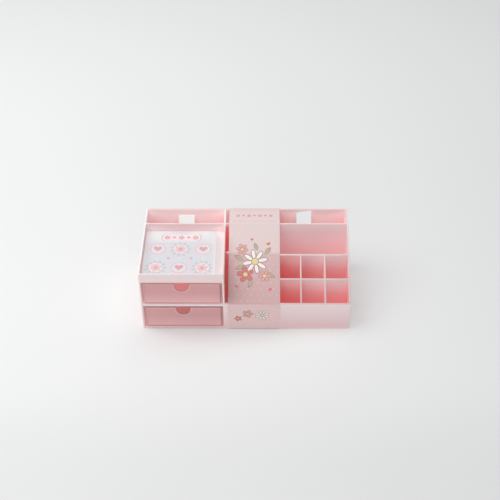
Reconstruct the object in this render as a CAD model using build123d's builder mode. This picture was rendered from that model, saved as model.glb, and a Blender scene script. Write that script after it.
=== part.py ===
"""Desktop drawer organizer: a moulded housing with two drawers, a phone tray, bays and a divider grid.

Millimetres. X runs to the right, Y to the back and Z up. The foot pads stand on Z = 0, and the origin
is under the middle of the organizer.
"""
import math
import os

from build123d import *

os.makedirs("parts", exist_ok=True)

# Housing
body_width = 260.0
body_depth = 124.0
wall = 2.2
floor_thickness = 1.6
corner_radius = 1.2
front_plate_height = 42.1
rear_bay_depth = 26.7
bay_corner_radius = 1.5

# Drawer bays, shelf and phone tray, one above the other at the left
bay_width = 99.3
bay_height = 37.5
shelf_thickness = 2.8
tray_floor = 2.2
tray_depth = 11.8
tray_seam = 0.1
ledge_reach = 1.4
ledge_edge = 0.8
ledge_setback = 6.0

# Divider grid at the right
cell_columns = 3
cell_rows = 2
cell_width = 28.3
cell_depth = 26.1
divider = 1.8
well_rear_depth = 32.1
insert_gap = 0.2

# Drawers
drawer_wall = 1.6
drawer_height = 32.6
drawer_radius = 2.0
drawer_side_gap = 0.7
drawer_floor_gap = 0.6
drawer_recess = 1.8
drawer_back_gap = 1.0
drawer_travel = 68.0
stop_gap = 0.3
notch_width = 17.6
notch_depth = 12.2
lug_width = 30.0
lug_height = 3.4
bead_width = 40.0
bead_length = 3.0
bead_height = 2.2

# Foot pads
foot_height = 0.8
foot_diameter = 10.0
foot_inset = 12.0

# Card sleeve over the front, slope, top and back
sleeve_width = 64.3
sleeve_right = 42.3
sleeve_card = 0.5
sleeve_gap = 0.3
sleeve_lift = 0.4

# Sticker sheet on the tray floor
sheet_card = 0.4
sheet_left_gap = 1.5
sheet_right_gap = 9.8
sheet_front_gap = 6.1
sheet_back_gap = 0.6
sheet_radius = 1.0
sticker_thickness = 0.15
sticker_dot = 19.0
sticker_label_width = 50.0
sticker_label_depth = 13.0
sticker_margin = 6.0
sticker_columns = 3
sticker_rows = 2

# Loose white cards in the rear bays
card_thickness = 0.6
card_left_width = 20.6
card_left_height = 82.5
card_left_x = -78.3
card_left_turn = 0.0
card_right_width = 19.4
card_right_height = 90.6
card_right_x = 76.8
card_right_turn = 13.8
card_lean = 8.0
card_gap = 0.4

# Levels and faces worked out from the sizes above
x_left = -body_width / 2
x_right = body_width / 2
y_front = -body_depth / 2
y_back = body_depth / 2
base_z = foot_height
floor_z = base_z + floor_thickness
shelf_z = floor_z + bay_height
upper_z = shelf_z + shelf_thickness
tray_z = upper_z + bay_height
tray_top = tray_z + tray_floor
rim_z = tray_top + tray_depth
plate_z = base_z + front_plate_height
housing_height = rim_z - base_z
bay_left = x_left + wall
bay_right = bay_left + bay_width
well_left = bay_right + wall
inner_right = x_right - wall
rear_bay_front = y_back - wall - rear_bay_depth
rear_wall_y = rear_bay_front - wall
bay_depth = rear_wall_y - y_front
fascia_width = well_left - x_left
drawer_width = bay_width - 2 * drawer_side_gap
drawer_front_y = y_front + drawer_recess
drawer_length = rear_wall_y - drawer_back_gap - drawer_front_y
bay_middle = bay_left + bay_width / 2
lug_y = drawer_front_y + drawer_length - drawer_wall
bead_y = lug_y - drawer_travel - stop_gap - bead_length


def side_profile(grow):
    """Side outline of the right unit, on Y and Z, grown outwards by a given amount."""
    with BuildSketch() as outline:
        with BuildLine():
            Polyline(
                (y_front, base_z),
                (y_front, plate_z),
                (rear_wall_y, rim_z),
                (y_back, rim_z),
                (y_back, base_z),
                close=True,
            )
        make_face()
        if grow > 0:
            offset(amount=grow, kind=Kind.INTERSECTION)
    return outline.sketch


# Housing: outer walls, floor, partition, rear bay wall and front plate in one moulding
with BuildPart() as housing:
    with BuildSketch(Plane.YZ.offset(bay_right)):
        add(side_profile(0))
    extrude(amount=x_right - bay_right)
    with BuildSketch(Plane.XY.offset(base_z)):
        with Locations((x_left, 0)):
            Rectangle(fascia_width, body_depth, align=(Align.MIN, Align.CENTER))
    extrude(amount=housing_height)
    outer_corners = housing.edges().filter_by(Axis.Z).filter_by(
        lambda edge: abs(edge.center().X) > x_right - wall / 2
    )
    fillet(outer_corners, radius=corner_radius)
    # the drawer bays are open at the front and closed above by the tray
    with BuildSketch(Plane.XY.offset(floor_z)):
        with Locations((bay_left, y_front)):
            Rectangle(bay_width, bay_depth, align=(Align.MIN, Align.MIN))
        # the right unit holds the middle well and the divider grid
        with Locations((well_left, y_front + wall)):
            Rectangle(inner_right - well_left, bay_depth - wall, align=(Align.MIN, Align.MIN))
    extrude(amount=housing_height, mode=Mode.SUBTRACT)
    with BuildSketch(Plane.XY.offset(floor_z)):
        for side_left, side_right in ((bay_left, bay_right), (well_left, inner_right)):
            with Locations(((side_left + side_right) / 2, rear_bay_front + rear_bay_depth / 2)):
                RectangleRounded(side_right - side_left, rear_bay_depth, bay_corner_radius)
    extrude(amount=housing_height, mode=Mode.SUBTRACT)
    # the tray's fascia laps over the front ends of the left wall and the partition
    with BuildSketch(Plane.XY.offset(tray_z)):
        with Locations((x_left, y_front)):
            Rectangle(fascia_width, wall, align=(Align.MIN, Align.MIN))
    extrude(amount=tray_depth + tray_floor, mode=Mode.SUBTRACT)
    # ledges that carry the shelf and the tray along both sides of the bays
    for ledge_z in (shelf_z, tray_z):
        with BuildSketch(Plane.XZ.offset(-(y_front + ledge_setback))):
            for wall_x, inward in ((bay_left, 1), (bay_right, -1)):
                with BuildLine():
                    Polyline(
                        (wall_x, ledge_z),
                        (wall_x + inward * ledge_reach, ledge_z),
                        (wall_x + inward * ledge_reach, ledge_z - ledge_edge),
                        (wall_x, ledge_z - ledge_edge - ledge_reach),
                        close=True,
                    )
                make_face()
        extrude(amount=-(bay_depth - ledge_setback))
housing.part.label = "housing"
export_step(housing.part, "parts/housing.step")

# Shelf between the drawers, with the bead that stops the lower drawer
with BuildPart() as drawer_shelf:
    with BuildSketch(Plane.XY.offset(shelf_z)):
        with Locations((bay_middle, y_front)):
            Rectangle(bay_width - 2 * tray_seam, bay_depth - tray_seam, align=(Align.CENTER, Align.MIN))
    extrude(amount=shelf_thickness)
    with BuildSketch(Plane.XY.offset(shelf_z)):
        with Locations((bay_middle, bead_y)):
            RectangleRounded(bead_width, bead_length, bead_length / 3, align=(Align.CENTER, Align.MIN))
    extrude(amount=-bead_height)
drawer_shelf.part.label = "drawer_shelf"
export_step(drawer_shelf.part, "parts/drawer_shelf.step")

# Phone tray: floor, front fascia and the bead that stops the upper drawer
with BuildPart() as phone_tray:
    with BuildSketch(Plane.XY.offset(tray_z)):
        with Locations((bay_middle, y_front + wall / 2)):
            Rectangle(
                bay_width - 2 * tray_seam,
                bay_depth - tray_seam - wall / 2,
                align=(Align.CENTER, Align.MIN),
            )
    extrude(amount=tray_floor)
    with BuildSketch(Plane.XY.offset(tray_z)):
        with Locations((x_left, y_front)):
            Rectangle(fascia_width, wall, align=(Align.MIN, Align.MIN))
    extrude(amount=tray_floor + tray_depth)
    fascia_corner = phone_tray.edges().filter_by(Axis.Z).filter_by(
        lambda edge: edge.center().X < x_left + wall / 2 and edge.center().Y < y_front + wall / 2
    )
    fillet(fascia_corner, radius=corner_radius)
    with BuildSketch(Plane.XY.offset(tray_z)):
        with Locations((bay_middle, bead_y)):
            RectangleRounded(bead_width, bead_length, bead_length / 3, align=(Align.CENTER, Align.MIN))
    extrude(amount=-bead_height)
phone_tray.part.label = "phone_tray"
export_step(phone_tray.part, "parts/phone_tray.step")

# Divider grid: well wall and cross wall, cell back wall, row divider and column dividers, cut to the slope
grid_width = cell_columns * cell_width + (cell_columns - 1) * divider
grid_left = inner_right - grid_width
grid_depth = cell_rows * cell_depth + (cell_rows - 1) * divider
grid_front = y_front + wall
well_width = grid_left - divider / 2 - well_left
with BuildPart() as divider_insert:
    with BuildSketch(Plane.XY.offset(floor_z)):
        # the well wall runs the whole depth between the front plate and the rear bay wall
        with Locations((grid_left, grid_front + insert_gap)):
            Rectangle(divider, rear_wall_y - grid_front - 2 * insert_gap, align=(Align.MAX, Align.MIN))
        # a cross wall parts the middle well into a front and a rear room
        with Locations((grid_left - divider / 2, rear_wall_y - well_rear_depth)):
            Rectangle(well_width - insert_gap, divider, align=(Align.MAX, Align.MAX))
        for row in range(1, cell_rows + 1):
            with Locations((grid_left, grid_front + row * (cell_depth + divider))):
                Rectangle(grid_width - insert_gap, divider, align=(Align.MIN, Align.MAX))
        for column in range(1, cell_columns):
            with Locations((grid_left + column * (cell_width + divider), grid_front + insert_gap)):
                Rectangle(divider, grid_depth + divider / 2, align=(Align.MAX, Align.MIN))
    extrude(amount=housing_height)
    with BuildSketch(Plane.YZ.offset(well_left)):
        add(side_profile(0))
    extrude(amount=inner_right - well_left, mode=Mode.INTERSECT)
divider_insert.part.label = "divider_insert"
export_step(divider_insert.part, "parts/divider_insert.step")

# Drawers: clear trays with a finger notch in the front and a stop lug on the back wall
for drawer_name, bay_floor in (("lower_drawer", floor_z), ("upper_drawer", upper_z)):
    drawer_z = bay_floor + drawer_floor_gap
    drawer_top = drawer_z + drawer_height
    with BuildPart() as drawer:
        with BuildSketch(Plane.XY.offset(drawer_z)):
            with Locations((bay_middle, drawer_front_y + drawer_length / 2)):
                RectangleRounded(drawer_width, drawer_length, drawer_radius)
        extrude(amount=drawer_height)
        offset(
            amount=-drawer_wall,
            openings=drawer.faces().sort_by(Axis.Z)[-1],
            kind=Kind.INTERSECTION,
        )
        # half-round finger notch in the top edge of the front
        with BuildSketch(Plane.XZ.offset(-drawer_front_y)):
            with Locations((bay_middle, drawer_top - notch_depth + notch_width / 2)):
                Circle(notch_width / 2)
            with Locations((bay_middle, drawer_top)):
                Rectangle(notch_width, notch_depth - notch_width / 2, align=(Align.CENTER, Align.MAX))
        extrude(amount=-drawer_wall, mode=Mode.SUBTRACT)
        # stop lug: the middle of the back wall stands up behind the bead
        with BuildSketch(Plane.XZ.offset(-lug_y)):
            with Locations((bay_middle, drawer_top - drawer_wall)):
                Rectangle(lug_width, lug_height + drawer_wall, align=(Align.CENTER, Align.MIN))
        extrude(amount=-drawer_wall)
    drawer.part.label = drawer_name
    export_step(drawer.part, "parts/" + drawer_name + ".step")

# Foot pads under the corners of the housing
foot_x = body_width / 2 - foot_inset
foot_y = body_depth / 2 - foot_inset
for foot_name, side_x, side_y in (
    ("foot_front_left", -1, -1),
    ("foot_front_right", 1, -1),
    ("foot_rear_left", -1, 1),
    ("foot_rear_right", 1, 1),
):
    with BuildPart() as foot:
        with BuildSketch():
            with Locations((side_x * foot_x, side_y * foot_y)):
                Circle(foot_diameter / 2)
        extrude(amount=foot_height)
        chamfer(foot.faces().sort_by(Axis.Z)[0].edges(), length=foot_height / 4)
    foot.part.label = foot_name
    export_step(foot.part, "parts/" + foot_name + ".step")

# Card sleeve: follows the side outline and is open below
with BuildPart() as sleeve:
    with BuildSketch(Plane.YZ.offset(sleeve_right - sleeve_width)):
        add(side_profile(sleeve_gap + sleeve_card))
        add(side_profile(sleeve_gap), mode=Mode.SUBTRACT)
        with Locations((0, base_z + sleeve_lift)):
            Rectangle(2 * body_depth, housing_height, align=(Align.CENTER, Align.MAX), mode=Mode.SUBTRACT)
    extrude(amount=sleeve_width)
sleeve.part.label = "sleeve"
export_step(sleeve.part, "parts/sleeve.step")

# Sticker sheet and its stickers: a label over a grid of round ones
sheet_width = bay_width - sheet_left_gap - sheet_right_gap
sheet_depth = bay_depth - wall - sheet_front_gap - sheet_back_gap
sheet_x = bay_left + sheet_left_gap + sheet_width / 2
sheet_y = rear_wall_y - sheet_back_gap - sheet_depth / 2
with BuildPart() as sticker_sheet:
    with BuildSketch(Plane.XY.offset(tray_top)):
        with Locations((sheet_x, sheet_y)):
            RectangleRounded(sheet_width, sheet_depth, sheet_radius)
    extrude(amount=sheet_card)
sticker_sheet.part.label = "sticker_sheet"
export_step(sticker_sheet.part, "parts/sticker_sheet.step")

sticker_pitch_x = (sheet_width - 2 * sticker_margin - sticker_dot) / (sticker_columns - 1)
label_y = sheet_y + sheet_depth / 2 - sticker_margin - sticker_label_depth / 2
dots_depth = sheet_depth - 3 * sticker_margin - sticker_label_depth
dots_y = sheet_y - sheet_depth / 2 + sticker_margin + dots_depth / 2
sticker_pitch_y = (dots_depth - sticker_dot) / (sticker_rows - 1)
with BuildPart() as stickers:
    with BuildSketch(Plane.XY.offset(tray_top + sheet_card)):
        with Locations((sheet_x, label_y)):
            RectangleRounded(sticker_label_width, sticker_label_depth, sticker_label_depth / 3)
        with Locations((sheet_x, dots_y)):
            with GridLocations(sticker_pitch_x, sticker_pitch_y, sticker_columns, sticker_rows):
                Circle(sticker_dot / 2)
    extrude(amount=sticker_thickness)
stickers.part.label = "stickers"
export_step(stickers.part, "parts/stickers.step")

# Loose white cards: each stands on the rear bay's floor and leans back on the back wall
rear_bay_middle = rear_bay_front + rear_bay_depth / 2
for card_name, card_x, card_width, card_height, card_turn in (
    ("rear_card_left", card_left_x, card_left_width, card_left_height, card_left_turn),
    ("rear_card_right", card_right_x, card_right_width, card_right_height, card_right_turn),
):
    lean = math.radians(card_lean)
    turn = math.radians(card_turn)
    reach = card_height * math.sin(lean) * math.cos(turn) + card_width / 2 * math.sin(abs(turn)) + card_thickness
    foot_line = y_back - wall - card_gap - reach
    card_plane = Plane(
        origin=(card_x, foot_line, floor_z + card_gap + card_thickness * math.sin(lean)),
        x_dir=(math.cos(turn), math.sin(turn), 0),
        z_dir=(
            math.sin(turn) * math.cos(lean),
            -math.cos(turn) * math.cos(lean),
            math.sin(lean),
        ),
    )
    with BuildPart() as card:
        with BuildSketch(card_plane):
            Rectangle(card_width, card_height, align=(Align.CENTER, Align.MIN))
        extrude(amount=-card_thickness)
    card.part.label = card_name
    export_step(card.part, "parts/" + card_name + ".step")
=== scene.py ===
"""Dresses the desktop drawer organizer: moulded plastic, clear drawers, printed card, paper and the stage.

Metres, in the frame of the packed model: X to the right, Y to the back, Z up from the desk.
"""
import math
from functools import partial

import bmesh
import bpy
from bpy.props import FloatProperty, FloatVectorProperty, IntProperty, PointerProperty
from mathutils import Matrix, Vector


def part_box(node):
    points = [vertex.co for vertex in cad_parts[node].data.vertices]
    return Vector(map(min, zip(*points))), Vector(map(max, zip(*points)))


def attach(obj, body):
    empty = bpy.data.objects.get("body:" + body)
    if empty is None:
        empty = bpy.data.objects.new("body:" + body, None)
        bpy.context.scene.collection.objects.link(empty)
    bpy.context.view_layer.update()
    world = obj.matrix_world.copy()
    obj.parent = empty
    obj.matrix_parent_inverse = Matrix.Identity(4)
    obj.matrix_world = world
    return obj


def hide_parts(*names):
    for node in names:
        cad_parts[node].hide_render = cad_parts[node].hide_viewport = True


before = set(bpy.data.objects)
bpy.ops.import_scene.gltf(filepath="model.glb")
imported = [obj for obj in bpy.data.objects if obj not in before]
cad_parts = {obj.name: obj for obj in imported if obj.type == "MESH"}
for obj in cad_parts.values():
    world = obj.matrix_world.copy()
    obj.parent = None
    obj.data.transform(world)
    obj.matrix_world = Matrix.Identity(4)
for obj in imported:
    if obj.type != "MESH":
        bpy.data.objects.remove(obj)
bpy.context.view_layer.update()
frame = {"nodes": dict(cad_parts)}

bl_info = {
    "name": "Desktop drawer organizer",
    "version": (1, 0, 0),
    "blender": (4, 5, 0),
    "location": "View3D > Sidebar > Organizer",
    "description": "Builds the pieces, finishes and stage of a desktop drawer organizer",
    "category": "Add Mesh",
}

MM = 0.001
TAU = math.tau
PLASTIC = "moulded_pink_plastic"
BLACK = (0, 0, 0)
NOISE_SPAN = 0.3, 0.7

housing_low, housing_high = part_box("housing")
tray_low, tray_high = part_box("phone_tray")
shelf_low, shelf_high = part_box("drawer_shelf")
insert_low, insert_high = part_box("divider_insert")
sleeve_low, sleeve_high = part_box("sleeve")
sheet_low, sheet_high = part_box("sticker_sheet")
stickers_low, stickers_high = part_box("stickers")


def display(red, green, blue):
    """Linear colour of a display value from 0 to 255."""
    def linear(value):
        value /= 255
        return value / 12.92 if value <= 0.04045 else ((value + 0.055) / 1.055) ** 2.4
    return linear(red), linear(green), linear(blue)


def made(kind, convert, **fixed):
    """Maker of a property from its name, its description and its default."""
    def make(name, description, value):
        return kind(name=name, description=description, default=convert(value), **fixed)
    return make


# colours are given as display values, lengths in millimetres and angles in degrees
colour = made(FloatVectorProperty, lambda value: display(*value), subtype="COLOR", size=3, min=0, max=1)
length = made(FloatProperty, lambda value: value * MM, min=0, precision=5, unit="LENGTH")
angle = made(FloatProperty, math.radians, subtype="ANGLE")
share = made(FloatProperty, float, min=0, max=1, subtype="FACTOR")
strength = made(FloatProperty, float, min=0)
power = made(FloatProperty, float, min=0, unit="POWER")
focal_length = made(FloatProperty, float, min=1, unit="CAMERA")
spot = made(FloatVectorProperty, tuple, subtype="TRANSLATION")
count = made(IntProperty, int, min=1)
several = made(IntProperty, int, min=2)

# painted glow by region: emission that makes sheltered parts of the plastic light up, standing in for light
# let through it
GLOW = {region: display(*value) for region, value in {
    "deep": (52, 32, 31), "room": (30, 22, 22), "upper": (60, 56, 56), "under_sleeve": (112, 52, 50),
    "left_bay": (46, 58, 58), "left_bay_top": (98, 110, 107), "bay": (6, 6, 6), "bay_top": (50, 50, 50),
    "sleeve_bay": (100, 104, 104), "drawer_bay": (35, 33, 32), "drawer_mouth": (138, 137, 136),
}.items()}


class OrganizerMouldings(bpy.types.PropertyGroup):
    """Moulded housing, tray, shelf and dividers"""

    edge_round: length("Edge rounding", "Width of the rounding on moulded edges", 0.35)
    wall: length("Wall", "Thickness of the housing's walls", 2)
    shelter_reach: length("Shelter reach", "How far walls deepen the plastic's tint", 55)
    cell_reach: length("Cell reach", "Depth below the rim at which a small cell is darkest", 52)
    large_reach: length("Large reach", "Depth at which a room as wide as the large one is darkest", 277)
    rear_bay_front: length("Rear bay front", "Where the rear bay starts along the depth", 33.3)
    bay_fade: length("Bay fade", "Height over which the light in the rear bays fades", 13)
    sleeve_shade: share("Shade of the sleeve", "How much the sleeve deepens the rooms beside it", 0.11)
    shade_reach: length("Shade reach", "How far to the right the sleeve's shade reaches", 60)
    roughness: share("Roughness", "Mean roughness of the moulded surface", 0.36)
    lamp_tint: colour("Light through", "Lamp light that passes each face of the plastic", (228, 227, 227))
    # painted shade: the unit tones run from its rim down to its floor, deeper and redder the further down a
    # face lies; unit shade is the sleeve's painted shadow
    unit_top: colour("Unit top", "Faces of the right unit near its rim", (249, 222, 223))
    unit_upper: colour("Unit upper", "Faces of the right unit a little below its rim", (248, 217, 219))
    unit_middle: colour("Unit middle", "Faces halfway down the right unit", (245, 199, 201))
    unit_lower: colour("Unit lower", "Faces low in the right unit", (247, 192, 193))
    unit_deep: colour("Unit deep", "Faces at the bottom of the right unit", (249, 178, 179))
    unit_shade: colour("Unit shade", "Faces of the right unit shaded by the sleeve", (223, 130, 129))
    # painted shade: these tones are laid on by how sheltered a face is, deeper and redder inside rooms and
    # corners
    open_colour: colour("Open face", "Faces with nothing near them", (253, 235, 236))
    plate_colour: colour("Low face", "Faces with the floor near them", (245, 221, 223))
    side_colour: colour("Sheltered face", "Faces beside a wall", (240, 205, 207))
    bay_colour: colour("Inside a bay", "Faces inside a wide open bay", (254, 232, 232))
    room_colour: colour("Inside a room", "Faces well inside a compartment", (252, 210, 210))
    deep_colour: colour("Deep inside", "Bottom of the deepest rooms", (239, 138, 137))
    # painted shade: under the sleeve, round the drawers, on sheltered faces that look up and beside the
    # tray
    well_colour: colour("Under the sleeve", "Faces of the rooms under the sleeve", (234, 138, 134))
    drawer_bay_colour: colour("Drawer bays", "Faces round the drawers", (206, 144, 141))
    tray_colour: colour("Tray floor", "Sheltered faces that face up", (217, 210, 211))
    tray_side: colour("Tray side", "Inner face of the left wall beside the tray", (222, 208, 208))
    # painted light on edges: the shelf edge and the rims get painted highlights, weaker on the back rim and
    # turning to painted shade on low rims
    shelf_edge: colour("Shelf edge", "Front edge of the shelf between the drawers", (250, 238, 241))
    rim_colour: colour("Rim", "High edges that face up and catch the light", (232, 223, 222))
    low_rim_colour: colour("Low rim", "Low edges that face up", (216, 189, 188))
    left_rim_colour: colour("Left rim", "Edge of the left wall that faces up", (246, 240, 239))
    back_rim_colour: colour("Back rim", "Edge of the back wall that faces up", (238, 207, 207))


class OrganizerDividers(bpy.types.PropertyGroup):
    """Divider grid of the right unit"""

    columns: count("Columns", "Small cells side by side", 3)
    rows: count("Rows", "Small cells one behind the other", 2)
    cell_width: length("Cell width", "Clear width of a small cell", 28.3)
    cell_depth: length("Cell depth", "Clear depth of a small cell", 26.1)
    divider: length("Divider", "Thickness of the walls", 1.8)
    gap: length("Gap", "Play between the grid and the housing", 0.2)
    well_rear: length("Rear room", "Clear depth of the well's rear room", 32.1)
    plate_top: length("Front plate top", "Height at which the slope starts", 42.9)


class OrganizerDrawers(bpy.types.PropertyGroup):
    """Clear pull-out drawers"""

    edge_round: length("Edge rounding", "Width of the rounding on the drawers' edges", 0.3)
    wall: length("Wall", "Thickness of the drawers' walls", 1.6)
    frame: length("Frame", "Width of the side walls seen through the front", 1.0)
    front_colour: colour("Front", "Tint of the clear front", (237, 183, 185))
    wall_colour: colour("Walls", "Tint of the sides, back and floor", (226, 176, 176))
    edge_colour: colour("Edges", "Tint of the cut edges", (196, 168, 168))
    # painted light and shade on the front's inset rim: lighter at its top and left, darker at its right and
    # bottom
    frame_colour: colour("Frame tint", "Top and left edges seen through the front", (240, 204, 205))
    border_colour: colour("Border tint", "Right and bottom walls seen through it", (162, 138, 138))
    # painted glow: the clear walls emit this light
    held_light: colour("Held light", "Light held by the clear walls", (112, 88, 87))
    front_cover: share("Front cover", "How much the front hides what is behind it", 0.75)
    wall_cover: share("Wall cover", "How much the walls hide what is behind them", 0.7)
    edge_cover: share("Edge cover", "How much the edges hide what is behind them", 0.8)


class OrganizerSleeve(bpy.types.PropertyGroup):
    """Printed card sleeve"""

    card: length("Card", "Thickness of the card", 0.38)
    relief: length("Print room", "Depth kept free above the card for its print", 0.09)
    fold_radius: length("Fold radius", "Outer radius of the folds", 1.2)
    front_colour: colour("Front panel", "Print on the front panel", (238, 206, 205))
    # the slope tones are print with painted light laid in: the lower and middle tones are darkened by
    # painted shade, and the upper tone steps up lighter
    lower_colour: colour("Lower slope", "Print at the foot of the slope", (204, 166, 165))
    middle_colour: colour("Middle slope", "Print at the middle of the slope", (211, 177, 177))
    upper_colour: colour("Upper slope", "Print at the head of the slope", (223, 203, 202))
    top_colour: colour("Top flap", "Print on the top flap", (227, 207, 206))
    back_colour: colour("Back panel", "Print on the back panel", (229, 205, 204))
    core_colour: colour("Card core", "Cut edges of the card", (240, 232, 230))
    white_ink: colour("White ink", "Pale petals and dots", (244, 238, 236))
    coral_ink: colour("Coral ink", "Strong petals and hearts", (216, 124, 122))
    rose_ink: colour("Rose ink", "Soft petals", (229, 168, 168))
    straw_ink: colour("Straw ink", "Flower centres", (231, 211, 150))
    leaf_ink: colour("Leaf ink", "Leaves", (186, 176, 150))
    line_ink: colour("Line ink", "Thin outlines", (166, 126, 122))


class OrganizerStickers(bpy.types.PropertyGroup):
    """Sticker sheet in the phone tray"""

    paper: length("Paper", "Thickness of the backing paper", 0.3)
    wave: length("Wave", "Height of the paper's slight wave", 0.35)
    dot: length("Round sticker", "Diameter of a round sticker", 19)
    label_width: length("Label width", "Width of the long label", 50)
    label_depth: length("Label depth", "Depth of the long label", 13)
    columns: several("Columns", "Round stickers side by side", 3)
    rows: several("Rows", "Round stickers one behind the other", 2)
    paper_colour: colour("Paper", "Backing paper", (227, 228, 229))
    shade_colour: colour("Paper shade", "Soft grey wash on the paper", (210, 215, 219))
    base_ink: colour("Sticker base", "Ground of the stickers", (240, 226, 228))
    blue_ink: colour("Grey blue ink", "Ground of every other sticker", (223, 224, 230))
    pink_ink: colour("Pink ink", "Petals and hearts", (232, 164, 170))
    pale_ink: colour("Pale ink", "Soft petals", (241, 208, 212))
    line_ink: colour("Line ink", "Cut lines round the stickers", (196, 170, 172))
    field_ink: colour("Field ink", "Soft field printed under the round stickers", (216, 219, 224))
    lace_ink: colour("Lace ink", "Grey lace round every other sticker", (205, 205, 211))


class OrganizerStage(bpy.types.PropertyGroup):
    """Floor, light and camera"""

    floor_colour: colour("Floor", "Plain pale floor", (233, 234, 234))
    # painted light on the floor: darker in front of the organizer, paler at the back
    front_floor_colour: colour("Front floor", "Floor well in front of the organizer", (226, 227, 227))
    back_floor_colour: colour("Back floor", "Floor far behind the organizer", (237, 238, 238))
    world_light: strength("Fill", "Light from all round", 0.36)
    key_power: power("Key", "Power of the soft lamp", 18)
    key_size: length("Key size", "Side of the soft lamp", 1300)
    key_place: spot("Key place", "Where the soft lamp stands", (-1.0, -0.05, 1.5))
    top_power: power("Top", "Power of the lamp overhead", 14)
    top_size: length("Top size", "Side of the lamp overhead", 2200)
    top_place: spot("Top place", "Where the lamp overhead stands", (0, 0.6, 2.2))
    front_power: power("Front", "Power of the front lamp", 9.8)
    front_size: length("Front size", "Side of the front lamp", 1800)
    front_place: spot("Front place", "Where the front lamp stands", (0.2, -2.2, 1.1))
    lens: focal_length("Lens", "Focal length on a 36 mm sensor", 68.98)
    camera_place: spot("Camera place", "Where the camera stands", (0.01904, -0.89269, 0.88967))
    camera_pitch: angle("Pitch", "How far the camera looks down", 42.279)
    camera_yaw: angle("Yaw", "How far the camera looks to the right", -0.918)
    camera_roll: angle("Roll", "Turn of the camera about its view", -0.535)


GROUPS = {
    "organizer_mouldings": OrganizerMouldings,
    "organizer_dividers": OrganizerDividers,
    "organizer_drawers": OrganizerDrawers,
    "organizer_sleeve": OrganizerSleeve,
    "organizer_stickers": OrganizerStickers,
    "organizer_stage": OrganizerStage,
}


def linked_object(name, data):
    """New object, linked to the scene."""
    piece = bpy.data.objects.new(name, data)
    bpy.context.scene.collection.objects.link(piece)
    return piece


def mesh_from(shape, name):
    """New mesh of a bmesh, which is freed."""
    mesh = bpy.data.meshes.new(name)
    shape.to_mesh(mesh)
    shape.free()
    return mesh


def evaluated_mesh(piece, name):
    """Plain mesh of an object with its modifiers worked out; the object is taken away."""
    bpy.context.view_layer.update()
    mesh = bpy.data.meshes.new_from_object(piece.evaluated_get(bpy.context.evaluated_depsgraph_get()))
    mesh.name = name
    source = piece.data
    bpy.data.objects.remove(piece)
    bpy.data.meshes.remove(source)
    return mesh


def add_rounding(piece, width):
    """Bevel that rounds the sharp edges of a piece."""
    rounding = piece.modifiers.new("rounding", "BEVEL")
    rounding.width = width
    rounding.segments = 2
    rounding.limit_method = "ANGLE"
    rounding.angle_limit = math.radians(35)
    rounding.use_clamp_overlap = False


def rounded_node(node, name, width):
    """Mesh of a CAD node's shape, its triangles merged into flat faces and its edges rounded."""
    shape = bmesh.new()
    shape.from_mesh(frame["nodes"][node].data)
    bmesh.ops.remove_doubles(shape, verts=shape.verts, dist=0.002 * MM)
    bmesh.ops.dissolve_limit(
        shape, angle_limit=math.radians(0.5), verts=shape.verts, edges=shape.edges, delimit={"NORMAL"}
    )
    piece = linked_object(name + "_blank", mesh_from(shape, node + "_outline"))
    add_rounding(piece, width)
    return evaluated_mesh(piece, name)


def finish_piece(name, mesh, body, nodes, finishes):
    """Object of a finished mesh that rides on its body and stands for its CAD nodes."""
    chosen = [face.material_index for face in mesh.polygons]
    mesh.materials.clear()
    for finish in finishes:
        mesh.materials.append(finish)
    mesh.polygons.foreach_set("material_index", chosen)
    mesh.shade_smooth()
    mesh.set_sharp_from_angle(angle=math.radians(22))
    piece = linked_object(name, mesh)
    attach(piece, body)
    if nodes:
        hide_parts(*nodes)


def dress_node(node, finish):
    """Gives a CAD node its finish."""
    node.data.materials.clear()
    node.data.materials.append(finish)


def fill(tree, socket, value):
    """Links an input to an output or to a list of outputs, or sets its value."""
    if isinstance(value, list):
        for entry in value:
            fill(tree, socket, entry)
    elif isinstance(value, bpy.types.NodeSocket):
        tree.links.new(value, socket)
    else:
        socket.default_value = (*value, 1) if socket.type == "RGBA" else value


def add_node(tree, kind, inputs=None, output=0, **settings):
    """New node with its settings and inputs; returns one of its outputs."""
    node = tree.nodes.new(kind)
    for name, value in settings.items():
        setattr(node, name, value)
    for key, value in (inputs or {}).items():
        fill(tree, node.inputs[key], value)
    return node.outputs[output]


def split(tree, vector):
    """X, Y and Z of a vector."""
    return add_node(tree, "ShaderNodeSeparateXYZ", {"Vector": vector}).node.outputs[:]


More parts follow.
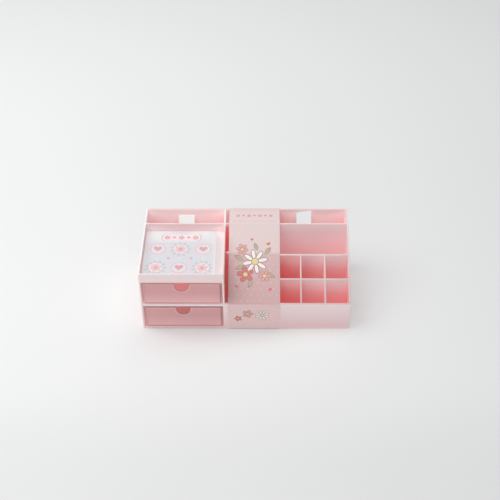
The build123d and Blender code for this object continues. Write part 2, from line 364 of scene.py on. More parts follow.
class Shade:
    """Node material with the steps that build it; each step returns a socket."""

    edge_blend = 0.1 * MM

    def __init__(self, name):
        self.finish = bpy.data.materials.new(name)
        self.finish.use_nodes = True
        self.tree = self.finish.node_tree
        self.shader = self.tree.nodes["Principled BSDF"]

    def feed(self, **inputs):
        """Links or sets inputs of the shader; an underscore stands for a space."""
        for label, value in inputs.items():
            fill(self.tree, self.shader.inputs[label.replace("_", " ")], value)

    def node(self, kind, inputs=None, output=0, **settings):
        """New shader node; returns one of its outputs."""
        return add_node(self.tree, "ShaderNode" + kind, inputs, output, **settings)

    def mixed(self, factor, first, second):
        """Colour that goes from the first to the second by a factor."""
        return self.node("Mix", {"Factor": factor, 6: first, 7: second}, 2, data_type="RGBA")

    def blended(self, factor, first, second):
        """Number that goes from the first to the second by a factor."""
        return self.node("Mix", {"Factor": factor, 2: first, 3: second})

    def ranged(self, value, low, high, first=0, second=1):
        """Value mapped from one range to another."""
        return self.node("MapRange", {
            "Value": value, "From Min": low, "From Max": high, "To Min": first, "To Max": second,
        })

    def less(self, first, second):
        """Difference of two numbers."""
        return self.node("Math", {0: first, 1: second}, operation="SUBTRACT")

    def product(self, first, *others):
        """Product of numbers."""
        for other in others:
            first = self.node("Math", {0: first, 1: other}, operation="MULTIPLY")
        return first

    def within(self, value, low, high):
        """1 where a value lies between two bounds, 0 elsewhere."""
        blend = self.edge_blend
        above = self.ranged(value, low - blend, low + blend)
        return self.product(above, self.ranged(value, high - blend, high + blend, 1, 0))

    def toned(self, value, stops, interpolation="EASE"):
        """Colour that runs through stops as a value grows."""
        tone = self.node("ValToRGB", {"Fac": value})
        ramp = tone.node.color_ramp
        ramp.interpolation = interpolation
        while len(ramp.elements) < len(stops):
            ramp.elements.new(0.5)
        for element, (place, tint) in zip(ramp.elements, stops):
            element.position = place
            element.color = (*tint, 1)
        return tone

    def place(self):
        """X, Y and Z on the piece."""
        return split(self.tree, self.node("TexCoord", output="Object"))

    def grain(self, scale, detail):
        """Noise on the piece's own coordinates."""
        place = self.node("TexCoord", output="Object")
        return self.node("TexNoise", {"Vector": place, "Scale": scale, "Detail": detail}, "Fac")

    def shelter(self, reach):
        """How open a spot is to the sky: 1 where nothing stands within reach."""
        return self.node("AmbientOcclusion", {"Distance": reach}, "AO", samples=16)

    def surface(self, noise, low_rough, high_rough, relief, strength, depth):
        """Uneven roughness from one noise and relief from another."""
        bump = self.node("Bump", {"Strength": strength, "Distance": depth, "Height": relief})
        self.feed(Roughness=self.ranged(noise, *NOISE_SPAN, low_rough, high_rough), Normal=bump)

    def pass_light(self, tint):
        """Lets some lamp light pass a thin wall, tinted by it."""
        lamp_ray = self.node("LightPath", output="Is Shadow Ray")
        passed = self.node("BsdfTransparent", {"Color": tint})
        mix = self.node("MixShader", {"Fac": lamp_ray, 1: self.shader.outputs["BSDF"], 2: passed})
        fill(self.tree, self.tree.nodes["Material Output"].inputs["Surface"], mix)


def slope_rise(cells):
    """Rise of the right unit's sloped rim for each metre to the back."""
    return (insert_high.z - cells.plate_top) / (insert_high.y - housing_low.y)


def moulded_plastic(sizes):
    """Pale pink plastic with painted shade that deepens its tint in rooms, painted glow and painted
    highlights on upturned edges.
    """
    shade = Shade(PLASTIC)
    within, product, ranged, mixed = shade.within, shade.product, shade.ranged, shade.mixed
    low, high, wall = housing_low, housing_high, sizes.wall
    cells = bpy.context.scene.organizer_dividers
    across, along, up = shade.place()
    shelter = shade.shelter(sizes.shelter_reach)

    # regions of the housing
    inside = product(
        within(up, low.z + wall, high.z + wall),
        within(across, low.x + wall, high.x - wall), within(along, low.y + wall, high.y - wall),
    )
    before_bay = within(along, low.y, sizes.rear_bay_front - wall)
    at_cells = within(along, low.y, low.y + wall + cells.rows * (cells.cell_depth + cells.divider))
    at_drawers = within(across, low.x, tray_high.x + wall)
    under_edge = 6 * MM
    at_right = product(inside, within(across, sleeve_high.x - under_edge, high.x))
    in_unit = product(at_right, before_bay)
    in_drawer_bay = product(inside, at_drawers, before_bay, within(up, low.z, tray_low.z + wall))
    in_rear_bay = product(inside, within(along, sizes.rear_bay_front, high.y))
    seen_gap, half_open = 4.5 * MM, 0.42
    closed_in = ranged(shelter, half_open, 0.24)
    under_sleeve = product(inside, closed_in, within(across, sleeve_low.x - seen_gap, sleeve_high.x))
    tray_gap = 0.6 * MM
    beside_tray = product(
        inside, before_bay,
        within(across, low.x, low.x + wall + tray_gap), within(up, tray_low.z, high.z),
    )
    at_shelf_edge = product(
        within(across, shelf_low.x, shelf_high.x),
        within(along, shelf_low.y - wall, shelf_low.y + wall / 2),
        within(up, shelf_high.z - 1.5 * wall, shelf_high.z + wall / 4),
    )

    # openness to the sky, which sets the painted shade below; in the right unit it follows the depth below
    # the sloped rim, and the sleeve's painted shadow lowers it beside the sleeve
    shade_end = sleeve_high.x + sizes.shade_reach
    lost = product(at_right, at_cells, ranged(across, sleeve_high.x, shade_end, sizes.sleeve_shade, 0))
    rim_height = ranged(along, low.y, low.y + 1, cells.plate_top, cells.plate_top + slope_rise(cells))
    below = shade.less(rim_height, up)
    level = shade.blended(
        at_cells, ranged(below, 0, sizes.large_reach, 1, 0), ranged(below, 0, sizes.cell_reach, 1, 0)
    )
    rim_sky, level_share = 0.82, 0.85
    level = ranged(product(level, level), 0, 1, 0, rim_sky)
    sky = shade.blended(ranged(in_unit, 0, 1, 0, level_share), shelter, level)
    open_sky = shade.less(sky, lost)

    # painted shade and painted glow: the tint deepens and reddens where a face is sheltered, and sheltered
    # regions emit a painted glow
    tint = shade.toned(open_sky, (
        (0, sizes.deep_colour), (0.22, sizes.room_colour), (0.42, sizes.bay_colour),
        (0.57, sizes.side_colour), (0.82, sizes.plate_colour), (1, sizes.open_colour),
    ))
    unit_tint = shade.toned(open_sky, (
        (0, sizes.unit_deep), (0.2, sizes.unit_lower), (0.44, sizes.unit_middle),
        (0.7, sizes.unit_upper), (rim_sky, sizes.unit_top),
    ))
    full_loss = 0.18
    unit_tint = mixed(ranged(lost, 0, full_loss), unit_tint, sizes.unit_shade)
    held = shade.toned(open_sky, (
        (0, GLOW["deep"]), (0.2, GLOW["room"]), (0.45, GLOW["upper"]), (0.8, BLACK),
    ))
    held = mixed(inside, BLACK, held)
    at_mouth = ranged(along, low.y + wall, low.y + 5 * wall, 1, 0)
    mouth_light = mixed(at_mouth, GLOW["drawer_bay"], GLOW["drawer_mouth"])
    near_top = ranged(up, high.z - sizes.bay_fade, high.z)
    left_bay = mixed(near_top, GLOW["left_bay"], GLOW["left_bay_top"])
    other_bay = mixed(near_top, GLOW["bay"], GLOW["bay_top"])
    in_well = product(under_sleeve, before_bay)
    # painted shade and painted glow by region; the shelf edge gets a painted highlight
    for region, tint_there, light_there in (
        (in_unit, unit_tint, None),
        (in_drawer_bay, sizes.drawer_bay_colour, mouth_light),
        (in_rear_bay, None, mixed(at_drawers, other_bay, left_bay)),
        (in_well, sizes.well_colour, GLOW["under_sleeve"]),
        (product(under_sleeve, in_rear_bay), None, GLOW["sleeve_bay"]),
        (beside_tray, sizes.tray_side, None),
        (at_shelf_edge, sizes.shelf_edge, None),
    ):
        if tint_there is not None:
            tint = mixed(region, tint, tint_there)
        if light_there is not None:
            held = mixed(region, held, light_there)

    # faces that look up: painted shade on sheltered ones, then painted rim light on open rims
    facing_up = split(shade.tree, shade.node("NewGeometry", output="Normal"))[2]
    upturned = ranged(facing_up, 0.55, 0.85)
    tint = mixed(product(upturned, ranged(shelter, half_open, 0.58)), tint, sizes.tray_colour)
    low_rim, high_rim = 45 * MM, 92 * MM
    rim_tint = sizes.low_rim_colour
    for region, tint_there in (
        (ranged(up, low_rim, high_rim), sizes.rim_colour),
        (ranged(along, high.y - 3 * MM, high.y - 2 * MM), sizes.back_rim_colour),
        (ranged(across, low.x + 3 * MM, low.x + 2.4 * MM), sizes.left_rim_colour),
    ):
        rim_tint = mixed(region, rim_tint, tint_there)
    open_rim = product(upturned, ranged(shelter, 0.8, 0.97))
    tint = mixed(open_rim, tint, rim_tint)
    shade.feed(Base_Color=tint, Emission_Color=held, Emission_Strength=1, IOR=1.49)
    rough, flow, texture = sizes.roughness, shade.grain(38, 3), shade.grain(1400, 2)
    shade.surface(flow, rough - 0.05, rough + 0.06, texture, strength=0.12, depth=0.02 * MM)
    shade.pass_light(sizes.lamp_tint)
    return shade.finish


def shared_plastic():
    """The moulded plastic, made once."""
    return bpy.data.materials.get(PLASTIC) or moulded_plastic(bpy.context.scene.organizer_mouldings)


def clear_plastic(name, tint, cover, roughness, held=BLACK):
    """Clear plastic with a thin veil of tint, a painted lightening towards its foot, a painted glow if one
    is given, and a slight flow in its surface.
    """
    shade = Shade(name)
    # painted light: the tint grows paler towards the foot
    paler = 1.3
    pale = tuple(min(1, value * paler) for value in tint)
    rise = shade.node("Attribute", output="Fac", attribute_name="rise")
    shade.feed(
        Base_Color=shade.mixed(shade.ranged(rise, 0.5, 0), tint, pale), Alpha=cover, IOR=1.5,
        Emission_Color=held, Emission_Strength=1,
    )
    flow = shade.grain(55, 3)
    shade.surface(flow, roughness, roughness + 0.08, flow, strength=0.1, depth=0.2 * MM)
    return shade.finish


def paper_shade(name, tint, wash, scale, roughness, passed=0.6, held=BLACK):
    """Card or paper with a soft wash of a second tone, a fine fibre grain and, if one is given, a painted
    glow where it is sheltered.
    """
    shade = Shade(name)
    washed = shade.ranged(shade.grain(scale, 2), 0.35, 0.7)
    shade.feed(Base_Color=shade.mixed(washed, tint, wash))
    fibre = shade.grain(2600, 4)
    shade.surface(fibre, roughness - 0.06, roughness + 0.06, fibre, strength=0.25, depth=0.03 * MM)
    # painted glow: emission where the sheet is sheltered
    if any(held):
        sheltered = shade.ranged(shade.shelter(40 * MM), 0.95, 0.7)
        shade.feed(Emission_Color=shade.mixed(sheltered, BLACK, held), Emission_Strength=1)
    if passed:
        shade.pass_light((passed, passed, passed))
    return shade


def darker(tint, factor):
    """A tint with less light."""
    return tuple(value * factor for value in tint)


def ink_finish(name, tint):
    """Printed ink with a fine halftone unevenness."""
    return paper_shade(name, tint, darker(tint, 0.95), 900, 0.5).finish


class ORGANIZER_OT_mouldings(bpy.types.Operator):
    """Housing, phone tray and drawer shelf with rounded edges"""

    bl_idname = "organizer.mouldings"
    bl_label = "Mouldings"

    def execute(self, context):
        sizes = context.scene.organizer_mouldings
        for node, name in (
            ("housing", "housing_shell"),
            ("phone_tray", "phone_tray_moulding"),
            ("drawer_shelf", "drawer_shelf_plate"),
        ):
            mesh = rounded_node(node, name, sizes.edge_round)
            finish_piece(name, mesh, "organizer", [node], [shared_plastic()])
        return {"FINISHED"}


def new_tree(name, inputs):
    """Geometry node tree with named inputs; returns it, its inputs and the way to add a node."""
    tree = bpy.data.node_groups.new(name, "GeometryNodeTree")
    for label, kind in {"Geometry": "Geometry", **inputs}.items():
        tree.interface.new_socket(label, in_out="INPUT", socket_type="NodeSocket" + kind)
    tree.interface.new_socket("Geometry", in_out="OUTPUT", socket_type="NodeSocketGeometry")
    return tree, tree.nodes.new("NodeGroupInput").outputs, partial(add_node, tree)


def close_tree(tree, geometry, material):
    """Ends a tree with real geometry in one material."""
    whole = add_node(tree, "GeometryNodeRealizeInstances", {"Geometry": geometry})
    dressed = add_node(tree, "GeometryNodeSetMaterial", {"Geometry": whole, "Material": material})
    fill(tree, tree.nodes.new("NodeGroupOutput").inputs["Geometry"], dressed)
    return tree


def grow_tree(piece, tree, values):
    """Nodes modifier on an object, its inputs set by the identifiers of the tree's sockets."""
    modifier = piece.modifiers.new("nodes", "NODES")
    modifier.node_group = tree
    sockets = {
        item.name: item.identifier
        for item in tree.interface.items_tree
        if item.item_type == "SOCKET" and item.in_out == "INPUT"
    }
    for label, value in values.items():
        modifier[sockets[label]] = value


def points_mesh(name, places, **attributes):
    """Mesh of loose points with number or vector attributes."""
    mesh = bpy.data.meshes.new(name)
    mesh.from_pydata(places, [], [])
    for label, values in attributes.items():
        vectors = isinstance(values[0], tuple)
        attribute = mesh.attributes.new(label, "FLOAT_VECTOR" if vectors else "FLOAT", "POINT")
        for entry, value in zip(attribute.data, values):
            setattr(entry, "vector" if vectors else "value", value)
    return mesh


def divider_tree():
    """Grid of walls: a block less its cells and rooms, with its top cut to a slope."""
    tree, given, add = new_tree("divider_grid", {
        "Block Size": "Vector", "Block Middle": "Vector", "Columns": "Int", "Rows": "Int",
        "Cell Size": "Vector", "Cell Field": "Vector", "Cell Middle": "Vector",
        "Slope Height": "Float", "Slope Rise": "Float", "Block Cuts": "Int", "Plastic": "Material",
    })
    block = add("GeometryNodeMeshCube", {"Size": given["Block Size"], "Vertices X": given["Block Cuts"]})
    stand = add("GeometryNodeTransform", {"Geometry": block, "Translation": given["Block Middle"]})
    width, depth, _ = split(tree, given["Cell Field"])
    plan = add("GeometryNodeMeshGrid", {
        "Size X": width, "Size Y": depth, "Vertices X": given["Columns"], "Vertices Y": given["Rows"],
    })
    placed = add("GeometryNodeTransform", {"Geometry": plan, "Translation": given["Cell Middle"]})
    cell = add("GeometryNodeMeshCube", {"Size": given["Cell Size"]})
    cells = add("GeometryNodeInstanceOnPoints", {"Points": placed, "Instance": cell})
    room_size = add("GeometryNodeInputNamedAttribute", {"Name": "room_size"}, data_type="FLOAT_VECTOR")
    unit = add("GeometryNodeMeshCube", {"Size": (1, 1, 1)})
    rooms = add("GeometryNodeInstanceOnPoints", {
        "Points": given["Geometry"], "Instance": unit, "Scale": room_size,
    })
    hollows = add("GeometryNodeJoinGeometry", {"Geometry": [cells, rooms]})
    hollow = add("GeometryNodeRealizeInstances", {"Geometry": hollows})
    walls = add("GeometryNodeMeshBoolean", {"Mesh 1": stand, "Mesh 2": hollow}, operation="DIFFERENCE")
    x, y, z = split(tree, add("GeometryNodeInputPosition"))
    height = add(
        "ShaderNodeMath", {0: y, 1: given["Slope Rise"], 2: given["Slope Height"]}, operation="MULTIPLY_ADD"
    )
    on_slope = add("ShaderNodeCombineXYZ", {"X": x, "Y": y, "Z": height})
    middle_height = split(tree, given["Block Middle"])[2]
    above = add("FunctionNodeCompare", {0: z, 1: middle_height}, operation="GREATER_THAN")
    sloped = add("GeometryNodeSetPosition", {"Geometry": walls, "Selection": above, "Position": on_slope})
    return close_tree(tree, sloped, given["Plastic"])


class ORGANIZER_OT_divider_grid(bpy.types.Operator):
    """Walls of the well, the cells and the large compartment"""

    bl_idname = "organizer.divider_grid"
    bl_label = "Divider grid"

    def execute(self, context):
        sizes = context.scene.organizer_dividers
        left, right = insert_low.x - sizes.gap, insert_high.x + sizes.gap
        front, back = insert_low.y - sizes.gap, insert_high.y + sizes.gap
        pitch_x = sizes.cell_width + sizes.divider
        pitch_y = sizes.cell_depth + sizes.divider
        grid_width = sizes.columns * pitch_x - sizes.divider
        grid_depth = sizes.rows * pitch_y
        grid_left = right - grid_width
        grid_middle = (grid_left + right) / 2
        well_right = grid_left - sizes.divider
        well_middle, well_width = (left + well_right) / 2, well_right - left
        cross_back = back - sizes.well_rear
        cross_front = cross_back - sizes.divider
        tall = 2 * insert_high.z
        middle = (insert_high + insert_low) / 2
        rooms = (
            (well_middle, (cross_back + back) / 2, well_width, sizes.well_rear),
            (well_middle, (front + cross_front) / 2, well_width, cross_front - front),
            (grid_middle, (front + grid_depth + back) / 2, grid_width, back - front - grid_depth),
        )
        blank = linked_object("divider_grid_blank", points_mesh(
            "divider_rooms", [(x, y, middle.z) for x, y, _, _ in rooms],
            room_size=[(width, depth, tall) for _, _, width, depth in rooms],
        ))
        rise = slope_rise(sizes)
        grow_tree(blank, divider_tree(), {
            "Block Size": insert_high - insert_low,
            "Block Middle": middle,
            "Columns": sizes.columns,
            "Rows": sizes.rows,
            "Cell Size": (sizes.cell_width, sizes.cell_depth, tall),
            "Cell Field": ((sizes.columns - 1) * pitch_x, (sizes.rows - 1) * pitch_y, 0),
            "Cell Middle": (grid_middle, front + (grid_depth - sizes.divider) / 2, middle.z),
            "Slope Height": sizes.plate_top - rise * housing_low.y,
            "Slope Rise": rise,
            "Block Cuts": 2 * sizes.columns + 1,
            "Plastic": shared_plastic(),
        })
        add_rounding(blank, context.scene.organizer_mouldings.edge_round)
        mesh = evaluated_mesh(blank, "divider_grid")
        finishes = [shared_plastic()]
        finish_piece("divider_grid", mesh, "organizer", ["divider_insert"], finishes)
        return {"FINISHED"}


class ORGANIZER_OT_drawers(bpy.types.Operator):
    """Both clear drawers with their greyer walls and edges"""

    bl_idname = "organizer.drawers"
    bl_label = "Drawers"

    def execute(self, context):
        sizes = context.scene.organizer_drawers
        front, walls, edges, strip, border = range(5)
        finishes = [
            clear_plastic("drawer_clear_front", sizes.front_colour, sizes.front_cover, 0.12),
            clear_plastic("drawer_clear_walls", sizes.wall_colour, sizes.wall_cover, 0.1, sizes.held_light),
            clear_plastic("drawer_clear_edges", sizes.edge_colour, sizes.edge_cover, 0.16),
            clear_plastic("drawer_clear_frame", sizes.frame_colour, sizes.edge_cover, 0.14),
            clear_plastic("drawer_clear_border", sizes.border_colour, sizes.edge_cover, 0.14),
        ]
        flat, upward = 0.95, 0.3
        for node in ("upper_drawer", "lower_drawer"):
            low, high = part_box(node)
            mesh = rounded_node(node, node + "_box", sizes.edge_round)
            box = bmesh.new()
            box.from_mesh(mesh)
            panel = []
            for face in box.faces:
                middle = face.calc_center_median()
                in_front = middle.y < low.y + 1.5 * sizes.wall
                if in_front and abs(face.normal.y) > flat:
                    face.material_index = front
                    if middle.y < low.y + 0.5 * sizes.wall:
                        panel.append(face)
                elif in_front or (face.normal.z > upward and middle.z > low.z + 2 * sizes.wall):
                    face.material_index = edges
                else:
                    face.material_index = walls
            rim = bmesh.ops.inset_region(box, faces=panel, thickness=sizes.frame, use_even_offset=True)
            # painted light and shade: top and left of the rim take the lit frame tint, right and bottom the
            # shaded border tint
            for face in rim["faces"]:
                middle = face.calc_center_median()
                near = min(high.x - middle.x, middle.z - low.z) < 2 * sizes.frame
                face.material_index = border if near else strip
            # height share that sets the painted lightening towards the foot
            rise = box.verts.layers.float.new("rise")
            for vert in box.verts:
                vert[rise] = (vert.co.z - low.z) / (high.z - low.z)
            box.to_mesh(mesh)
            box.free()
            finish_piece(node + "_box", mesh, node, [node], finishes)
        return {"FINISHED"}


class ORGANIZER_OT_foot_pads(bpy.types.Operator):
    """Soft grey rubber of the foot pads"""

    bl_idname = "organizer.foot_pads"
    bl_label = "Foot pads"

    def execute(self, context):
        grey = display(176, 172, 170)
        rubber = paper_shade("foot_pad_rubber", grey, darker(grey, 0.9), 500, 0.8, passed=0).finish
        for name, node in frame["nodes"].items():
            if name.startswith("foot_"):
                dress_node(node, rubber)
        return {"FINISHED"}


class ORGANIZER_OT_rear_cards(bpy.types.Operator):
    """White card finish of the loose cards in the rear bays"""

    bl_idname = "organizer.rear_cards"
    bl_label = "Rear cards"

    def execute(self, context):
        white, wash = display(252, 252, 251), display(248, 248, 248)
        # painted glow: the card emits a faint light where it is sheltered in the bay
        card = paper_shade("plain_white_card", white, wash, 60, 0.62, held=(0.08, 0.25, 0.25)).finish
        for name in ("rear_card_left", "rear_card_right"):
            dress_node(frame["nodes"][name], card)
        return {"FINISHED"}


class CardPath:
    """Line that the sleeve's outer face follows from its front foot to its back foot."""

    def __init__(self):
        scene = bpy.context.scene
        inset = scene.organizer_sleeve.relief
        plate_top = scene.organizer_dividers.plate_top
        front, back = sleeve_low.y + inset, sleeve_high.y - inset
        foot, top = sleeve_low.z, sleeve_high.z - inset
        tray_play = 0.1 * MM
        run = tray_high.y + tray_play - housing_low.y
        rise = housing_high.z - plate_top
        lift = (top - housing_high.z) * math.hypot(run, rise) / run
        slope = rise / run
        head = housing_low.y + (top - plate_top - lift) / slope
        shoulder = plate_top + lift + (front - housing_low.y) * slope
        corners = [(front, foot), (front, shoulder), (head, top), (back, top), (back, foot)]
        corners = [Vector(corner) for corner in corners]
        self.points = self.rounded(corners, scene.organizer_sleeve.fold_radius)
        self.starts = [0.0]
        for first, second in zip(self.points, self.points[1:]):
            self.starts.append(self.starts[-1] + (second - first).length)
        self.length = self.starts[-1]
        self.folds = [self.nearest(corner) for corner in corners[1:4]]
        self.half_width = (sleeve_high.x - sleeve_low.x) / 2

    @staticmethod
    def rounded(corners, radius):
        """Corners with each fold turned into a short arc."""
        steps = 6
        line = [corners[0]]
        for before, corner, after in zip(corners, corners[1:], corners[2:]):
            come = (corner - before).normalized()
            leave = (after - corner).normalized()
            reach = radius * math.tan(come.angle(leave) / 2)
            start, end = corner - come * reach, corner + leave * reach
            for step in range(steps + 1):
                t = step / steps
                line.append(start * (1 - t) ** 2 + corner * 2 * t * (1 - t) + end * t ** 2)
        line.append(corners[-1])
        return line

    def nearest(self, corner):
        """Length along the line of its point nearest to a corner."""
        return min(zip(self.points, self.starts), key=lambda pair: (pair[0] - corner).length)[1]

    def normal(self, index):
        """Outward direction at a point of the line."""
        first = self.points[max(index - 1, 0)]
        second = self.points[min(index + 1, len(self.points) - 1)]
        along = (second - first).normalized()
        return Vector((-along.y, along.x))

    def lay(self, across, along, lift):
        """Place in the frame of a spot on the card, lifted off its outer face."""
        along = min(max(along, 0), self.length)
        for index in range(len(self.points) - 1):
            if along <= self.starts[index + 1]:
                break
        t = (along - self.starts[index]) / (self.starts[index + 1] - self.starts[index])
        place = self.points[index].lerp(self.points[index + 1], t)
        out = self.normal(index).lerp(self.normal(index + 1), t).normalized()
        laid = place + out * lift
        return Vector(((sleeve_low.x + sleeve_high.x) / 2 + across, laid.x, laid.y))


def card_print_finish(sizes, path):
    """Printed card whose tone changes along its length, from UV, with a fine grain; the slope's tones hold
    painted shade and light as well as print.
    """
    shade = Shade("sleeve_printed_card")
    along = split(shade.tree, shade.node("UVMap", uv_map="card"))[1]
    shoulder, head, rear = (fold / path.length for fold in path.folds)
    slope = head - shoulder
    edge = 0.0015
    # print tones along the card; the darker lower slope and the step to the lighter upper slope are painted
    # shade and light
    tone = shade.toned(along, (
        (0, sizes.front_colour), (shoulder - edge, sizes.front_colour),
        (shoulder + edge, sizes.lower_colour), (shoulder + 0.61 * slope, sizes.middle_colour),
        (shoulder + 0.65 * slope, sizes.upper_colour), (head - edge, sizes.upper_colour),
        (head + edge, sizes.top_colour), (rear - edge, sizes.top_colour), (rear + edge, sizes.back_colour),
    ), "LINEAR")
    fleck = shade.ranged(shade.grain(1100, 3), 0.4, 0.75, 0, 0.12)
    shade.feed(Base_Color=shade.mixed(fleck, tone, sizes.white_ink))
    fibre = shade.grain(2200, 3)
    shade.surface(fibre, 0.4, 0.5, fibre, strength=0.15, depth=0.02 * MM)
    shade.pass_light((0.6, 0.5, 0.5))
    return shade.finish


class ORGANIZER_OT_sleeve(bpy.types.Operator):
    """Folded card sleeve with its white core at the cut edges"""

    bl_idname = "organizer.sleeve"
    bl_label = "Sleeve"

    def execute(self, context):
        sizes = context.scene.organizer_sleeve
        path = CardPath()
        columns = 12
        printed, core = 0, 1
        card = bmesh.new()
        chart = card.loops.layers.uv.new("card")
        places = [path.half_width * (2 * step / columns - 1) for step in range(columns + 1)]
        # rings round the card: its outer face to the right, then its inner face back to the left
        section = [(across, 0) for across in places] + [(across, -sizes.card) for across in places[::-1]]
        rings = [
            [card.verts.new(path.lay(across, along, depth)) for across, depth in section]
            for along in path.starts
        ]
        shares = [start / path.length for start in path.starts]
        for near, far, low, high in zip(rings, rings[1:], shares, shares[1:]):
            for step in range(len(section)):
                after = (step + 1) % len(section)
                face = card.faces.new((near[step], near[after], far[after], far[step]))
                face.material_index = printed if step < columns else core
                left, right = step / columns, (step + 1) / columns
                spread = (left, low), (right, low), (right, high), (left, high)
                for loop, place in zip(face.loops, spread):
                    loop[chart].uv = place
        for ring in (rings[0], rings[-1]):
            for step in range(columns):
                corners = ring[step], ring[step + 1], ring[-2 - step], ring[-1 - step]
                card.faces.new(corners).material_index = core
        bmesh.ops.recalc_face_normals(card, faces=card.faces)
        finishes = [
            card_print_finish(sizes, path),
            paper_shade("sleeve_card_core", sizes.core_colour, display(232, 222, 219), 300, 0.7).finish,
        ]
        mesh = mesh_from(card, "sleeve_card")
        finish_piece("sleeve_card", mesh, "sleeve", ["sleeve"], finishes)
        return {"FINISHED"}


def motif_tree():
    """Printed motif: an outline, repeated round a middle, set on every point of a layout."""
    tree, given, add = new_tree("printed_motif", {
        "Motif": "Object", "Copies": "Int", "Offset": "Float", "Grow": "Float", "Ink": "Material",
    })
    motif = add("GeometryNodeObjectInfo", {"Object": given["Motif"]}, "Geometry")
    shift = add("ShaderNodeCombineXYZ", {"X": given["Offset"]})
    scale = add("ShaderNodeCombineXYZ", {"X": given["Grow"], "Y": given["Grow"], "Z": 1})
    petal = add("GeometryNodeTransform", {"Geometry": motif, "Translation": shift, "Scale": scale})
    step = add("ShaderNodeMath", {0: TAU, 1: given["Copies"]}, operation="DIVIDE")
    index = add("GeometryNodeInputIndex")
    heading = add("ShaderNodeMath", {0: index, 1: step}, operation="MULTIPLY")
    turn = add("ShaderNodeCombineXYZ", {"Z": heading})
    middle = add("GeometryNodePoints", {"Count": given["Copies"]})
    around = add("GeometryNodeInstanceOnPoints", {"Points": middle, "Instance": petal, "Rotation": turn})
    radius = add("GeometryNodeInputNamedAttribute", {"Name": "motif_radius"})
    motif_turn = add("GeometryNodeInputNamedAttribute", {"Name": "motif_turn"})
    spread = add("GeometryNodeInstanceOnPoints", {
        "Points": given["Geometry"], "Instance": around, "Scale": radius,
        "Rotation": add("ShaderNodeCombineXYZ", {"Z": motif_turn}),
    })
    return close_tree(tree, spread, given["Ink"])


def turns(steps):
    """Equal steps of one full turn."""
    return [TAU * step / steps for step in range(steps)]


def outline_disc(steps):
    """Circle of radius 1."""
    return [(math.cos(turn), math.sin(turn)) for turn in turns(steps)]


def outline_petal(width):
    """Rounded petal from the middle outwards, 1 long, fuller at its outer end."""
    spots = []
    for turn in turns(14):
        along = 0.5 - 0.5 * math.cos(turn)
        spots.append((along, math.sin(turn) * width * (0.55 + 0.45 * along)))
    return spots


def outline_heart():
    """Heart about 2 wide, pointing down."""
    spots = []
    for turn in turns(26):
        up = 13 * math.cos(turn) - 5 * math.cos(2 * turn) - 2 * math.cos(3 * turn) - math.cos(4 * turn)
        spots.append((-math.sin(turn) ** 3, up / 16 + 0.15))
    return spots


def outline_leaf():
    """Pointed leaf, 1 long."""
    steps, width = 7, 0.24
    bulge = [width * math.sin(math.pi * step / steps) ** 0.9 for step in range(steps)]
    upper = [(step / steps, bulge[step]) for step in range(steps)]
    return upper + [(1 - step / steps, -bulge[step]) for step in range(steps)]


def outline_bar(width, depth, radius):
    """Rounded rectangle."""
    steps = 6
    spots = []
    for quarter, (x, y) in enumerate(((1, 1), (-1, 1), (-1, -1), (1, -1))):
        for step in range(steps + 1):
            turn = math.pi / 2 * (quarter + step / steps)
            spots.append((
                x * (width / 2 - radius) + radius * math.cos(turn),
                y * (depth / 2 - radius) + radius * math.sin(turn),
            ))
    return spots


class PrintSheet:
    """Collects flat printed motifs, each with its ink and layer, as one mesh."""

    def __init__(self):
        self.tree = motif_tree()
        self.shape = bmesh.new()
        self.layer = self.shape.verts.layers.float.new("layer")
        self.inks = []

    def stamp(self, outline, ink, places, layer, copies=1, offset=0.0, grow=1.0):
        """Prints an outline in one ink at places given as x, y, radius and turn."""
        motif_mesh = bpy.data.meshes.new("motif")
        motif_mesh.from_pydata([(x, y, 0) for x, y in outline], [], [list(range(len(outline)))])
        motif = linked_object("motif", motif_mesh)
        blank = linked_object("layout", points_mesh(
            "layout", [(x, y, 0) for x, y, _, _ in places],
            motif_radius=[radius for _, _, radius, _ in places], motif_turn=[turn for *_, turn in places],
        ))
        grow_tree(blank, self.tree, {
            "Motif": motif, "Copies": copies, "Offset": offset, "Grow": grow, "Ink": ink,
        })
        mesh = evaluated_mesh(blank, "stamp")
        bpy.data.objects.remove(motif)
        if ink not in self.inks:
            self.inks.append(ink)
        verts, faces = len(self.shape.verts), len(self.shape.faces)
        self.shape.from_mesh(mesh)
        self.shape.verts.ensure_lookup_table()
        self.shape.faces.ensure_lookup_table()
        for vert in self.shape.verts[verts:]:
            vert[self.layer] = layer
        for face in self.shape.faces[faces:]:
            face.material_index = self.inks.index(ink)
        bpy.data.meshes.remove(mesh)

    def blossom(self, places, petals, ink, line, centre, layer, width):
        """Open flower: outlined petals round a button."""
        step = 0.012 * MM
        self.stamp(outline_petal(width), line, places, layer, petals, 0.06, 1.04)
        self.stamp(outline_petal(width * 0.82), ink, places, layer + step, petals, 0.12, 0.92)
        button = [(x, y, size * 0.28, turn) for x, y, size, turn in places]
        self.stamp(outline_disc(16), line, button, layer + 2 * step, grow=1.18)
        self.stamp(outline_disc(16), centre, button, layer + 3 * step)

    def cut(self, spacing):
        """Cuts the motifs along a square grid, so that they can follow a wave."""
        for axis in (Vector((1, 0, 0)), Vector((0, 1, 0))):
            places = [vert.co.dot(axis) for vert in self.shape.verts]
            for step in range(math.ceil(min(places) / spacing), math.ceil(max(places) / spacing)):
                bmesh.ops.bisect_plane(
                    self.shape, geom=[*self.shape.verts, *self.shape.edges, *self.shape.faces],
                    plane_co=axis * step * spacing, plane_no=axis,
                )

    def laid(self, name, place):
        """Mesh of all motifs with each vertex laid down by a function of x, y and layer."""
        for vert in self.shape.verts:
            vert.co = place(vert.co.x, vert.co.y, vert[self.layer])
        bmesh.ops.triangulate(self.shape, faces=[face for face in self.shape.faces if len(face.verts) > 4])
        return mesh_from(self.shape, name)


def in_metres(middle, *rows):
    """Places from rows of x, y from a middle, radius (all in millimetres) and turn."""
    return [(x * MM, middle + y * MM, radius * MM, turn) for x, y, radius, turn in rows]


